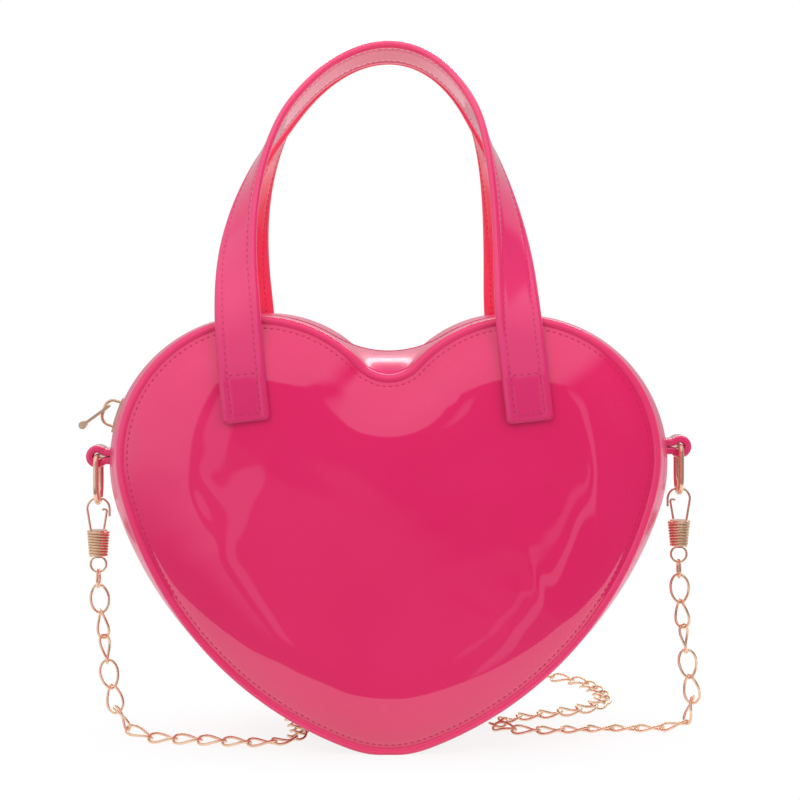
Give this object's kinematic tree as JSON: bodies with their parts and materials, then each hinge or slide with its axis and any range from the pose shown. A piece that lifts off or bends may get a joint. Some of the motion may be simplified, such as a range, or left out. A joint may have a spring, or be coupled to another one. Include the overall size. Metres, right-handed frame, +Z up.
{
  "type": "heart shaped handbag",
  "caption": "Glossy heart shaped handbag with domed panels, zipped gusset, folding strap handles, side rings and a clip-on chain strap.",
  "frame": {"origin": "middle of the flat under the tip, halfway between the two rims, on the surface the bag stands on", "axes": "+X to the wearer's right of the front panel as seen from the front, +Y from the front panel to the rear panel, +Z up through the handles"},
  "size_m": [0.2225, 0.2065, 0.2472],
  "materials": {
    "pink_vinyl": "glossy coated vinyl",
    "pink_piping": "glossy coated vinyl",
    "pink_strap": "glossy coated vinyl",
    "gold_metal": "polished pale rose gold",
    "zip_tape": "woven tape",
    "lining": "thin woven lining"
  },
  "bodies": {
    "bag": {"chain_coil": "gold_metal", "front_handle_ends": "pink_strap", "front_lining": "lining", "front_panel": "pink_vinyl", "front_piping": "pink_piping", "front_zip_strip": "pink_vinyl", "front_zip_tape": "zip_tape", "front_zip_teeth": "gold_metal", "left_floor_chain": "gold_metal", "left_tab": "pink_vinyl", "lower_gusset": "pink_vinyl", "rear_handle_ends": "pink_strap", "rear_lining": "lining", "rear_panel": "pink_vinyl", "rear_piping": "pink_piping", "rear_zip_strip": "pink_vinyl", "rear_zip_tape": "zip_tape", "rear_zip_teeth": "gold_metal", "right_floor_chain": "gold_metal", "right_tab": "pink_vinyl", "zip_end_stops": "gold_metal"},
    "slider": {"zip_slider": "gold_metal", "slider_bail": "gold_metal"},
    "pull": {"slider_pull": "gold_metal"},
    "front_handle": {"front_handle": "pink_strap"},
    "rear_handle": {"rear_handle": "pink_strap"},
    "left_ring": {"left_ring": "gold_metal"},
    "left_drop": {"left_clasp_hook": "gold_metal", "left_clasp_core": "gold_metal", "left_clasp_eye": "gold_metal", "left_jump_ring": "gold_metal", "left_clasp_winding": "gold_metal", "left_drop_chain": "gold_metal"},
    "left_gate": {"left_clasp_gate": "gold_metal"},
    "right_ring": {"right_ring": "gold_metal"},
    "right_drop": {"right_clasp_hook": "gold_metal", "right_clasp_core": "gold_metal", "right_clasp_eye": "gold_metal", "right_jump_ring": "gold_metal", "right_clasp_winding": "gold_metal", "right_drop_chain": "gold_metal"},
    "right_gate": {"right_clasp_gate": "gold_metal"}
  },
  "joints": [
    {"name": "zip_slide", "type": "hinge", "parent": "bag", "child": "slider", "pos_m": [-0.0467, 0, 0.0974], "axis": [0, 1, 0], "range_deg": [0, 95]},
    {"name": "pull_swing", "type": "hinge", "parent": "slider", "child": "pull", "pos_m": [-0.10228, 0, 0.11565], "axis": [0, 1, 0], "range_deg": [0, 90]},
    {"name": "front_handle_fold", "type": "hinge", "parent": "bag", "child": "front_handle", "pos_m": [0, -0.04643, 0.1323], "axis": [1, 0, 0], "range_deg": [0, 180]},
    {"name": "rear_handle_fold", "type": "hinge", "parent": "bag", "child": "rear_handle", "pos_m": [0, 0.04643, 0.1323], "axis": [-1, 0, 0], "range_deg": [0, 180]},
    {"name": "left_ring_swing", "type": "hinge", "parent": "bag", "child": "left_ring", "pos_m": [-0.1042, 0, 0.0992], "axis": [0, 1, 0], "range_deg": [-4, 14]},
    {"name": "left_clasp_hang", "type": "hinge", "parent": "left_ring", "child": "left_drop", "pos_m": [-0.1042, 0, 0.0835], "axis": [0, 1, 0], "range_deg": [-17, 5]},
    {"name": "left_gate_press", "type": "hinge", "parent": "left_drop", "child": "left_gate", "pos_m": [-0.1022, 0, 0.0732], "axis": [0, -1, 0], "range_deg": [0, 20], "stiffness_Nm_per_rad": 0.001},
    {"name": "right_ring_swing", "type": "hinge", "parent": "bag", "child": "right_ring", "pos_m": [0.1042, 0, 0.1028], "axis": [0, -1, 0], "range_deg": [-4, 14]},
    {"name": "right_clasp_hang", "type": "hinge", "parent": "right_ring", "child": "right_drop", "pos_m": [0.1042, 0, 0.0871], "axis": [0, -1, 0], "range_deg": [-17, 5]},
    {"name": "right_gate_press", "type": "hinge", "parent": "right_drop", "child": "right_gate", "pos_m": [0.1022, 0, 0.0768], "axis": [0, 1, 0], "range_deg": [0, 20], "stiffness_Nm_per_rad": 0.001}
  ],
  "couplings": [
    {"joint": "left_clasp_hang", "follows": "left_ring_swing", "ratio": -1.2},
    {"joint": "right_clasp_hang", "follows": "right_ring_swing", "ratio": -1.2}
  ]
}
